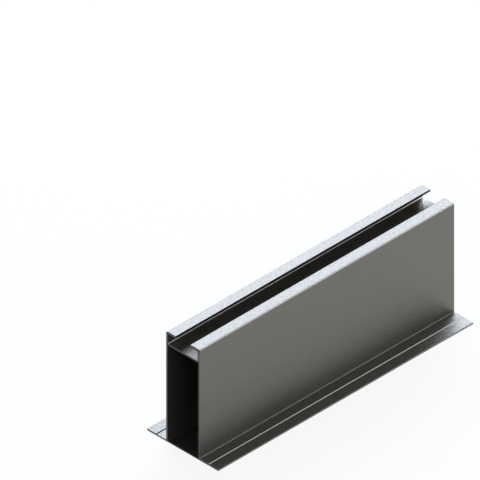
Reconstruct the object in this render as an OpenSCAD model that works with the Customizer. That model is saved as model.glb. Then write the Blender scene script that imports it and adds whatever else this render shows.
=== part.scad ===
// Short mounting rail for a metal roof: one extruded aluminium profile, sawn square at both ends.
// The section lies in the Y-Z plane and runs along X. The origin is at the middle of the underside
// of the base, and the clamp slot opens upward.

/* [Rail] */
// Length between the two sawn ends
rail_length = 214; // [60:1:400]
// Height from the underside of the base to the tops of the lips
rail_height = 80; // [40:1:150]
// Width across the outer faces of the side walls
body_width = 28; // [24:0.5:60]
// Thickness of the side walls
wall = 1.5; // [1:0.1:3]
// Radius of the two outer corners along the top
top_radius = 1.2; // [0.3:0.1:2]

/* [Clamp channel] */
// Width of the slot between the two lips
slot_width = 12; // [6:0.5:18]
// Thickness of the lips
lip_thickness = 1.5; // [1:0.1:4]
// Clear height between the channel floor and the lips
channel_height = 7; // [3:0.5:20]
// Thickness of the plate that forms the channel floor
floor_thickness = 1.5; // [1:0.1:4]

/* [Base] */
// Reach of each flange past the side wall
flange_reach = 16; // [10:0.5:50]
// Thickness of the base plate and its flanges
base_thickness = 1.2; // [0.9:0.1:5]
// Distance from the side wall to the middle of the drill line
groove_offset = 8; // [3:0.5:9]
// Width of the drill line at the surface
groove_width = 1.2; // [0.4:0.1:2]
// Depth of the drill line
groove_depth = 0.5; // [0.2:0.1:0.7]

/* [Corners] */
// Radius of the fillet between each side wall and its flange
foot_fillet = 0.6; // [0.2:0.1:2]
// Radius of the fillets inside the channel and the box
inner_fillet = 0.5; // [0.2:0.1:1.4]
// Radius on the edges of the lips and the flanges
edge_radius = 0.3; // [0.1:0.05:0.4]

/* [Hidden] */
$fn = 48;

half_body = body_width / 2;
half_base = half_body + flange_reach;
half_slot = slot_width / 2;
inner_width = body_width - 2 * wall;

lip_bottom = rail_height - lip_thickness;
channel_floor = lip_bottom - channel_height;
box_top = channel_floor - floor_thickness;
box_height = box_top - base_thickness;

// How far a cut runs past the surface that it opens
overrun = 1;

// The web that rounds an inside corner at the origin, between the x axis and the y axis
module corner_web(radius) {
    difference() {
        square(radius);
        translate([radius, radius]) circle(radius);
    }
}

// The same web with its corner at a place, turned by an angle
module web_at(place, turn, radius) {
    translate(place) rotate(turn) corner_web(radius);
}

module both_sides() {
    children();
    mirror([1, 0]) children();
}

// A rectangular hollow, centred on the y axis, with rounded corners
module hollow(width, height, bottom) {
    difference() {
        translate([-width / 2, bottom]) square([width, height]);
        both_sides() {
            web_at([-width / 2, bottom], 0, inner_fillet);
            web_at([-width / 2, bottom + height], -90, inner_fillet);
        }
    }
}

// The outline of the profile, with the flanges and the two walls as one filled shape
module outline() {
    difference() {
        union() {
            translate([-half_base, 0]) square([2 * half_base, base_thickness]);
            translate([-half_body, 0]) square([body_width, rail_height]);
            both_sides() web_at([half_body, base_thickness], 0, foot_fillet);
        }
        both_sides() {
            web_at([-half_body, rail_height], -90, top_radius);
            web_at([-half_base, 0], 0, edge_radius);
            web_at([-half_base, base_thickness], -90, edge_radius);
        }
    }
}

// The opening between the lips, with the rounded edges that it leaves on them
module slot() {
    translate([-half_slot, lip_bottom - overrun]) square([slot_width, lip_thickness + 2 * overrun]);
    both_sides() {
        web_at([half_slot, rail_height], -90, edge_radius);
        web_at([half_slot, lip_bottom], 0, edge_radius);
    }
}

// The V-shaped line along a flange that starts a drill bit
module drill_line() {
    translate([half_body + groove_offset, base_thickness])
        polygon([
            [-groove_width / 2, 0],
            [0, -groove_depth],
            [groove_width / 2, 0],
            [groove_width / 2, overrun],
            [-groove_width / 2, overrun],
        ]);
}

module section() {
    difference() {
        outline();
        hollow(inner_width, box_height, base_thickness);
        hollow(inner_width, channel_height, channel_floor);
        slot();
        both_sides() drill_line();
    }
}

module rail() {
    color("silver")
        rotate([90, 0, 90])
            linear_extrude(height = rail_length, center = true) section();
}

rail();
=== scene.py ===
import math
from types import SimpleNamespace

import bpy
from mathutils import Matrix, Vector

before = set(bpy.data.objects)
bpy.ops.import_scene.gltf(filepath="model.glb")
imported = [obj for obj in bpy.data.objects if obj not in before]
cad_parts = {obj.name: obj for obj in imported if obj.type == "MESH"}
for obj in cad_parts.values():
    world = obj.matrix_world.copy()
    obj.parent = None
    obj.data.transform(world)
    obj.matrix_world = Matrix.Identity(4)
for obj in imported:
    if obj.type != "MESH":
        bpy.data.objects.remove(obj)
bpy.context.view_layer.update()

# Camera: an isometric view, as in the photograph
# Azimuth 0 looks along +Y, and elevation is above the horizon, in degrees
VIEW_AZIMUTH = -45.0
VIEW_ELEVATION = math.degrees(math.atan(1 / math.sqrt(2)))
FRAME_PX = 480
PX_PER_MM = 1.6835
# Where the photograph shows the middle of the underside of the base, in its 480 x 480 frame
ORIGIN_PX = (310.15, 377.15)
CAMERA_DISTANCE = 1.5

# Heights on the section, in metres
BASE_MIDDLE = 0.0006
FLANGE_TOP = 0.0013
FOOT_BOTTOM = 0.002
BOX_TOP = 0.070
PLATE_MIDDLE = 0.0707
CHANNEL_FLOOR = 0.0715
CHANNEL_TOP = 0.0783
LIP_END_RIM = 0.0788
LIP_MIDDLE = 0.07925

# Distances from the section's middle plane, in metres. A pair is from and to.
LIP_RIM = 0.00634
LIP_EDGE = 0.0066
CHANNEL_SIDE = 0.0126
WALL_MIDDLE = 0.01325
DRILL_LINE = (0.0212, 0.0228)
DRILL_LINE_HIGHLIGHT_BAND = (0.0215, 0.02188)

# The sawn ends have a dark inner edge, which is painted shade. In the channel it is what lies within
# CHANNEL_SIDE and below
# LIP_END_RIM, and beside the box what lies between these two places in Y.
BOX_RIM = (-0.0135, 0.0129)
# The lips are dark from the near cut up to this place in X
CUT_EDGE = -0.1066

# A face counts as sawn where the X of its normal is above this, whatever its sign
END_FACING = 0.7
# A face counts as looking up where the Z of its normal is above this
UPWARD_FACING = 0.9
# The product of a normal's Y and Z is a half at 45 degrees, and this brings it to 1
ROUNDED_GAIN = 2.0
# How narrow the painted highlight along a rounded edge is
EDGE_HIGHLIGHT_POWER = 2.5

# Changes along an axis: from, to, first value, last value
# Towards the far end: painted light on the channel floor and the drill lines, and a smoother channel
# floor
FAR_END_RAMP = (0.088, 0.100, 0.0, 1.0)
# The foot of the walls is slightly bluer, from a height downwards, but not towards the far end
FOOT = (0.017, 0.011, 0.0, 1.0)
FOOT_FADE = (0.050, 0.080, 1.0, 0.0)
# Added to the roughness, and to the tone as painted light, of the outer half of the flanges, towards
# the far end
FLANGE_DULL = (0.066, 0.080, 0.0, 0.08)
FLANGE_FAR_LIGHT = (0.083, 0.089, 0.0, 0.22)
# Across the channel floor, its tone is multiplied by both of these, as painted shade that is darkest
# near Y = 0.003 and painted light towards the left side
FLOOR_MIDDLE_SHADE = (-0.002, 0.003, 1.0, 0.55)
FLOOR_SIDE_LIGHT = (0.003, 0.011, 1.0, 2.5)

# Colours of the metal, linear
METAL_DARK = (0.153, 0.150, 0.134)
METAL_LIGHT = (0.193, 0.188, 0.168)
# Painted shade: the inside of the box and of the channel is darker
SHADED_INNER_DARK = (0.0935, 0.0892, 0.0768)
SHADED_INNER_LIGHT = (0.1255, 0.1200, 0.1035)
# Painted highlight along the rounded edges of the top
EDGE_HIGHLIGHT_COLOUR = (0.47, 0.47, 0.46)
# Painted highlight in the channel's rounded inner corners
CORNER_HIGHLIGHT_COLOUR = (0.88, 0.88, 0.87)
LIP_EDGE_COLOUR = (0.032, 0.032, 0.031)
CUT_EDGE_COLOUR = (0.015, 0.015, 0.016)
# Painted highlight on the drill lines, painted shade beside it and on the left flange's line, and a
# painted highlight at the far end
DRILL_LINE_HIGHLIGHT = (0.40, 0.40, 0.39)
DRILL_LINE_SHADE = (0.050, 0.050, 0.049)
DRILL_LINE_LEFT_SHADE = (0.080, 0.080, 0.078)
DRILL_LINE_FAR_HIGHLIGHT = (0.51, 0.52, 0.53)
# The sawn ends are darker than the faces: partly their sawn finish, partly painted shade
SAWN_DARK = (0.080, 0.080, 0.078)
SAWN_LIGHT = (0.120, 0.120, 0.117)
# Painted shade on the inner edge of the sawn ends
SAWN_RIM_SHADE = (0.010, 0.010, 0.010)
# Added to the colour of the foot
FOOT_TINT = (0.011, 0.0135, 0.023)
# Changes of tone: painted shade on the flanges, and painted light on the channel floor towards the far
# end
FLANGE_SHADE_GAIN = -0.18
FLOOR_FAR_LIGHT = 0.35

# Roughness
METAL_ROUGHNESS = 0.42
FLANGE_ROUGHNESS = 0.35
BOX_ROUGHNESS = 0.48
CHANNEL_SMOOTH = 0.32
CHANNEL_ROUGH = 0.85
SAWN_ROUGHNESS = 0.5
# How much the lengthwise lines change it
LINE_ROUGHNESS = 0.06
# The channel is rough where its grain is above this, and more of it is smooth towards the far end
DULL_ABOVE = 0.54
DULL_FAR_END = 0.4

# Fine texture: noise scales per metre along X, Y and Z
LINE_SCALE = (25.0, 2800.0, 2800.0)
STREAK_SCALE = (6.0, 420.0, 420.0)
SPECKLE_SCALE = (1100.0, 1100.0, 1100.0)
SCUFF_SCALE = (550.0, 650.0, 650.0)
GRAIN_SCALE = (5000.0, 5000.0, 5000.0)
# Levels of finer detail in the noise, and in the saw marks
NOISE_DETAIL = 2.0
SAW_DETAIL = 3.0
# The tone is part streaks, and the rest of it is speckle
STREAK_SHARE = 0.3
# How much the scuffs change the tone of the faces that look up
SCUFF_DEPTH = 0.6
# Heights of the bumps, in metres
LINE_HEIGHT = 2.0e-5
SPECKLE_HEIGHT = 2.5e-4
GRAIN_HEIGHT = 8.5e-5
# The saw's centre in Y and Z, the spacing of its marks and their depth, in metres
SAW_CENTRE = (0.16, -0.11)
SAW_SPACING = 0.0005
SAW_HEIGHT = 1.0e-5

# Floor and light
FLOOR_COLOUR = (0.90, 0.90, 0.90, 1.0)
WHITE = (1.0, 1.0, 1.0, 1.0)
# How much of what the camera sees of the floor is plain white, and the rest shows the shadow
FLOOR_GLOW = 0.86
FLOOR_REACH = 6.0
WORLD_LIGHT = 0.20
# Each panel: azimuth, elevation, distance, width, height, radiance, colour
PANELS = {
    "main_panel": (132.0, 37.0, 2.2, 2.4, 1.5, 6.8, (0.723, 0.811, 1.0)),
    "back_panel": (-52.0, 42.0, 2.2, 2.4, 1.6, 2.4, (0.85, 0.92, 1.0)),
}


def direction(azimuth, elevation):
    """The unit vector from the object towards a place at that azimuth and elevation."""
    a, e = math.radians(azimuth), math.radians(elevation)
    return Vector((math.sin(a) * math.cos(e), -math.cos(a) * math.cos(e), math.sin(e)))


def make_camera():
    back = direction(VIEW_AZIMUTH, VIEW_ELEVATION)
    rotation = (-back).to_track_quat("-Z", "Y")
    right, up = rotation @ Vector((1, 0, 0)), rotation @ Vector((0, 1, 0))
    metres_per_px = 0.001 / PX_PER_MM
    sideways = (FRAME_PX / 2 - ORIGIN_PX[0]) * metres_per_px
    upwards = (ORIGIN_PX[1] - FRAME_PX / 2) * metres_per_px

    data = bpy.data.cameras.new("camera")
    data.type = "ORTHO"
    data.ortho_scale = FRAME_PX * metres_per_px
    camera = bpy.data.objects.new("camera", data)
    camera.rotation_mode = "QUATERNION"
    camera.rotation_quaternion = rotation
    camera.location = right * sideways + up * upwards + back * CAMERA_DISTANCE
    bpy.context.scene.collection.objects.link(camera)
    bpy.context.scene.camera = camera


def rgba(colour):
    """Three numbers get a fourth, as a colour socket takes them, and another socket stays as it is."""
    return colour if isinstance(colour, bpy.types.NodeSocket) else (*colour, 1.0)


class Nodes:
    """A short way to add nodes to a material or world and to join them."""

    def __init__(self, owner):
        owner.use_nodes = True
        self.tree = owner.node_tree
        self.tree.nodes.clear()

    def add(self, kind, inputs=None, **settings):
        """Add a node. A socket in inputs is joined to it, and a plain value is set on it."""
        node = self.tree.nodes.new(kind)
        for name, value in settings.items():
            setattr(node, name, value)
        for name, value in (inputs or {}).items():
            if isinstance(value, bpy.types.NodeSocket):
                self.tree.links.new(value, node.inputs[name])
            else:
                node.inputs[name].default_value = value
        return node

    def math(self, operation, *values, clamp=False):
        inputs = dict(enumerate(values))
        return self.add("ShaderNodeMath", inputs, operation=operation, use_clamp=clamp).outputs[0]

    def product(self, *values):
        """The product of the values. For masks, it is 1 where all of them are."""
        result = values[0]
        for value in values[1:]:
            result = self.math("MULTIPLY", result, value)
        return result

    def above(self, value, limit):
        """1 where the value is above the limit, and 0 elsewhere."""
        return self.math("GREATER_THAN", value, limit)

    def below(self, value, limit):
        """1 where the value is below the limit, and 0 elsewhere."""
        return self.math("LESS_THAN", value, limit)

    def between(self, value, low, high):
        """1 where the value lies between two limits, and 0 elsewhere."""
        return self.product(self.above(value, low), self.below(value, high))

    def ramp(self, value, start, end, first, last):
        """A value that goes from first to last as another goes from start to end."""
        inputs = {0: value, 1: start, 2: end, 3: first, 4: last}
        return self.add("ShaderNodeMapRange", inputs).outputs[0]

    def blend(self, share, first, second):
        """The first colour where the share is 0, and the second where it is 1."""
        inputs = {0: share, 6: rgba(first), 7: rgba(second)}
        return self.add("ShaderNodeMix", inputs, data_type="RGBA").outputs[2]

    def noise(self, place, scale):
        """Noise from 0 to 1, with its own scale along each axis."""
        stretched = self.add("ShaderNodeVectorMath", {0: place, 1: scale}, operation="MULTIPLY")
        inputs = {"Vector": stretched.outputs[0], "Scale": 1.0, "Detail": NOISE_DETAIL}
        return self.add("ShaderNodeTexNoise", inputs).outputs[0]

    def bump(self, height):
        inputs = {"Height": height, "Distance": 1.0, "Strength": 1.0}
        return self.add("ShaderNodeBump", inputs).outputs[0]

    def metal(self, colour, roughness, normal):
        inputs = {"Metallic": 1.0, "Base Color": colour, "Roughness": roughness, "Normal": normal}
        return self.add("ShaderNodeBsdfPrincipled", inputs).outputs[0]

    def seen(self):
        """1 for what the camera sees, straight or in metal or glass, and 0 for light on a surface."""
        path = self.add("ShaderNodeLightPath").outputs
        straight = self.math("MAXIMUM", path["Is Camera Ray"], path["Is Glossy Ray"])
        return self.math("MAXIMUM", straight, path["Is Transmission Ray"])


def make_floor():
    r = FLOOR_REACH
    mesh = bpy.data.meshes.new("floor")
    mesh.from_pydata([(-r, -r, 0), (r, -r, 0), (r, r, 0), (-r, r, 0)], [], [(0, 1, 2, 3)])
    floor = bpy.data.objects.new("floor", mesh)
    bpy.context.scene.collection.objects.link(floor)

    material = bpy.data.materials.new("floor")
    mesh.materials.append(material)
    n = Nodes(material)
    paper = n.add("ShaderNodeBsdfDiffuse", {"Color": FLOOR_COLOUR})
    white = n.add("ShaderNodeEmission", {"Color": WHITE, "Strength": 1.0})
    share = n.product(n.seen(), FLOOR_GLOW)
    mixed = n.add("ShaderNodeMixShader", {0: share, 1: paper.outputs[0], 2: white.outputs[0]})
    n.add("ShaderNodeOutputMaterial", {"Surface": mixed.outputs[0]})


def make_world():
    world = bpy.data.worlds.new("world")
    bpy.context.scene.world = world
    n = Nodes(world)
    strength = n.math("MULTIPLY_ADD", n.seen(), 1.0 - WORLD_LIGHT, WORLD_LIGHT)
    sky = n.add("ShaderNodeBackground", {"Color": WHITE, "Strength": strength})
    n.add("ShaderNodeOutputWorld", {"Surface": sky.outputs[0]})


def add_panel(name, azimuth, elevation, distance, width, height, radiance, colour):
    """A soft box that faces the object. Its radiance is what a mirror would show of it."""
    data = bpy.data.lights.new(name, "AREA")
    data.shape = "RECTANGLE"
    data.size, data.size_y = width, height
    data.color = colour
    data.energy = radiance * math.pi * width * height
    lamp = bpy.data.objects.new(name, data)
    towards = direction(azimuth, elevation)
    lamp.location = towards * distance
    lamp.rotation_mode = "QUATERNION"
    lamp.rotation_quaternion = towards.to_track_quat("Z", "Y")
    bpy.context.scene.collection.objects.link(lamp)


def read_surface(n):
    """Where a point of the metal lies, and masks that are 1 on what they name and 0 elsewhere."""
    coordinates = n.add("ShaderNodeTexCoord").outputs
    position = n.add("ShaderNodeSeparateXYZ", {"Vector": coordinates["Object"]}).outputs
    normal = n.add("ShaderNodeSeparateXYZ", {"Vector": coordinates["Normal"]}).outputs
    s = SimpleNamespace(place=coordinates["Object"], x=position["X"], y=position["Y"], z=position["Z"])
    s.across = n.math("ABSOLUTE", s.y)

    s.sawn = n.above(n.math("ABSOLUTE", normal["X"]), END_FACING)
    s.worn = n.ramp(s.x, *FAR_END_RAMP)
    s.left = n.above(s.y, 0.0)
    s.top = n.above(s.z, BOX_TOP)
    s.inner = n.product(n.below(s.across, WALL_MIDDLE), n.between(s.z, BASE_MIDDLE, LIP_MIDDLE))
    s.foot = n.product(n.ramp(s.z, *FOOT), n.above(s.z, FOOT_BOTTOM), n.ramp(s.x, *FOOT_FADE))

    # Faces that look up
    s.upward = n.above(normal["Z"], UPWARD_FACING)
    s.flange = n.product(s.upward, n.below(s.z, FLANGE_TOP))
    s.outer_flange = n.product(s.flange, n.above(s.across, DRILL_LINE[1]))
    s.channel_floor = n.product(s.upward, s.inner, s.top)

    # Rounded edges and the sloping sides of the drill lines, where highlights and shade are painted
    slope = n.math("ABSOLUTE", n.product(normal["Y"], normal["Z"]))
    rounded = n.math("MULTIPLY", slope, ROUNDED_GAIN, clamp=True)
    s.rubbed = n.product(n.math("POWER", rounded, EDGE_HIGHLIGHT_POWER), s.top)
    s.corner = n.product(rounded, s.top, s.inner)
    s.drill_line = n.product(rounded, n.between(s.across, *DRILL_LINE))

    # The sides of the slot with the edge above them, and the tops of the lips beside the near cut
    lips = n.above(s.z, CHANNEL_TOP)
    steep = n.product(normal["Y"], normal["Y"])
    slot_side = n.math("MAXIMUM", steep, n.below(s.across, LIP_RIM))
    s.lip_edge = n.product(slot_side, n.below(s.across, LIP_EDGE), lips)
    s.cut_edge = n.product(n.below(s.x, CUT_EDGE), lips)
    return s


def face_colour(n, s, speckle):
    """The colour of the extruded faces, with painted highlights and painted shade on edges, drill
    lines, flanges, channel floor and inside.
    """
    streaks = n.noise(s.place, STREAK_SCALE)
    tone = n.math("ADD", n.product(streaks, STREAK_SHARE), n.product(speckle, 1.0 - STREAK_SHARE))
    outer = n.blend(tone, METAL_DARK, METAL_LIGHT)
    # Painted shade: the inside is darker
    inner = n.blend(tone, SHADED_INNER_DARK, SHADED_INNER_LIGHT)
    colour = n.blend(s.inner, outer, inner)
    tinted = n.add("ShaderNodeVectorMath", {0: colour, 1: FOOT_TINT}, operation="ADD").outputs[0]
    colour = n.blend(s.foot, colour, tinted)

    # A gain to the power of a mask is the gain itself where the mask is 1, and 1 where it is 0
    gain = n.math("MULTIPLY_ADD", n.noise(s.place, SCUFF_SCALE), SCUFF_DEPTH, 1.0 - SCUFF_DEPTH / 2)
    # Painted light on the outer halves of the flanges towards the far end
    gain = n.math("MULTIPLY_ADD", s.outer_flange, n.ramp(s.x, *FLANGE_FAR_LIGHT), gain)
    # Painted shade on the flanges
    gain = n.math("MULTIPLY_ADD", s.flange, FLANGE_SHADE_GAIN, gain)
    gain = n.math("POWER", gain, s.upward)
    # Painted light on the channel floor towards the far end
    worn_gain = n.math("MULTIPLY_ADD", s.worn, FLOOR_FAR_LIGHT, 1.0)
    # Painted shade and light across the channel floor
    floor_light_and_shade = n.product(n.ramp(s.y, *FLOOR_MIDDLE_SHADE), n.ramp(s.y, *FLOOR_SIDE_LIGHT), worn_gain)
    gain = n.product(gain, n.math("POWER", floor_light_and_shade, s.channel_floor))
    scaled = n.add("ShaderNodeVectorMath", {0: colour, "Scale": gain}, operation="SCALE").outputs[0]

    # Painted highlights along rounded edges
    colour = n.blend(s.rubbed, scaled, EDGE_HIGHLIGHT_COLOUR)
    # Painted highlight in the channel's inner corners
    colour = n.blend(s.corner, colour, CORNER_HIGHLIGHT_COLOUR)
    colour = n.blend(s.lip_edge, colour, LIP_EDGE_COLOUR)
    colour = n.blend(s.cut_edge, colour, CUT_EDGE_COLOUR)

    # Painted highlight and shade on the drill lines
    highlight_band = n.between(s.across, *DRILL_LINE_HIGHLIGHT_BAND)
    line_colour = n.blend(highlight_band, DRILL_LINE_SHADE, DRILL_LINE_HIGHLIGHT)
    line_colour = n.blend(s.worn, line_colour, DRILL_LINE_FAR_HIGHLIGHT)
    line_colour = n.blend(s.left, line_colour, DRILL_LINE_LEFT_SHADE)
    return n.blend(s.drill_line, colour, line_colour)


def face_roughness(n, s, lines, grain):
    """The roughness of the extruded faces. The channel has smooth and rough spots."""
    rough_spot = n.above(grain, n.math("MULTIPLY_ADD", s.worn, DULL_FAR_END, DULL_ABOVE))
    smooth_change = CHANNEL_SMOOTH - BOX_ROUGHNESS
    channel_change = n.math("MULTIPLY_ADD", rough_spot, CHANNEL_ROUGH - CHANNEL_SMOOTH, smooth_change)
    inner_change = n.math("MULTIPLY_ADD", s.top, channel_change, BOX_ROUGHNESS - METAL_ROUGHNESS)
    roughness = n.math("MULTIPLY_ADD", s.inner, inner_change, METAL_ROUGHNESS)
    roughness = n.math("MULTIPLY_ADD", s.flange, FLANGE_ROUGHNESS - METAL_ROUGHNESS, roughness)
    roughness = n.math("MULTIPLY_ADD", s.outer_flange, n.ramp(s.x, *FLANGE_DULL), roughness)
    return n.math("ADD", roughness, n.math("MULTIPLY_ADD", lines, LINE_ROUGHNESS, -LINE_ROUGHNESS / 2))


def face_height(n, s, lines, speckle, grain):
    """The height of the bumps: lines everywhere, grain on the flanges and speckle on the rest."""
    height = n.product(lines, LINE_HEIGHT)
    speckle_height = n.math("MULTIPLY_ADD", s.flange, -SPECKLE_HEIGHT, SPECKLE_HEIGHT)
    height = n.math("MULTIPLY_ADD", speckle, speckle_height, height)
    return n.math("MULTIPLY_ADD", grain, n.product(s.flange, GRAIN_HEIGHT), height)


def sawn_metal(n, s):
    """The sawn ends, with the arcs that a circular saw leaves and a dark inner edge of painted shade.
    """
    from_saw_y = n.math("SUBTRACT", s.y, SAW_CENTRE[0])
    from_saw_z = n.math("SUBTRACT", s.z, SAW_CENTRE[1])
    square = n.product(from_saw_y, from_saw_y)
    radius = n.math("SQRT", n.math("MULTIPLY_ADD", from_saw_z, from_saw_z, square))
    turn = n.add("ShaderNodeCombineXYZ", {"X": n.math("DIVIDE", radius, SAW_SPACING), "Y": s.x})
    inputs = {"Vector": turn.outputs[0], "Scale": 1.0, "Detail": SAW_DETAIL}
    marks = n.add("ShaderNodeTexNoise", inputs).outputs[0]

    box_height = n.between(s.z, BASE_MIDDLE, PLATE_MIDDLE)
    channel_height = n.between(s.z, CHANNEL_FLOOR, LIP_END_RIM)
    # Painted shade on the inner edge of the sawn ends
    box_rim = n.product(n.between(s.y, *BOX_RIM), box_height)
    channel_rim = n.product(n.below(s.across, CHANNEL_SIDE), channel_height)
    rim_shade = n.math("MAXIMUM", box_rim, channel_rim)
    colour = n.blend(rim_shade, n.blend(marks, SAWN_DARK, SAWN_LIGHT), SAWN_RIM_SHADE)
    return n.metal(colour, SAWN_ROUGHNESS, n.bump(n.product(marks, SAW_HEIGHT)))


def metal_material():
    material = bpy.data.materials.new("aluminium")
    n = Nodes(material)
    s = read_surface(n)
    lines = n.noise(s.place, LINE_SCALE)
    speckle = n.noise(s.place, SPECKLE_SCALE)
    grain = n.noise(s.place, GRAIN_SCALE)
    colour = face_colour(n, s, speckle)
    roughness = face_roughness(n, s, lines, grain)
    extruded = n.metal(colour, roughness, n.bump(face_height(n, s, lines, speckle, grain)))
    mixed = n.add("ShaderNodeMixShader", {0: s.sawn, 1: extruded, 2: sawn_metal(n, s)})
    n.add("ShaderNodeOutputMaterial", {"Surface": mixed.outputs[0]})
    return material


def dress_rail():
    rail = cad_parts["rail"]
    rail.data.materials.clear()
    rail.data.materials.append(metal_material())


make_camera()
make_floor()
make_world()
for panel, values in PANELS.items():
    add_panel(panel, *values)
dress_rail()
bpy.context.scene.view_settings.view_transform = "Standard"
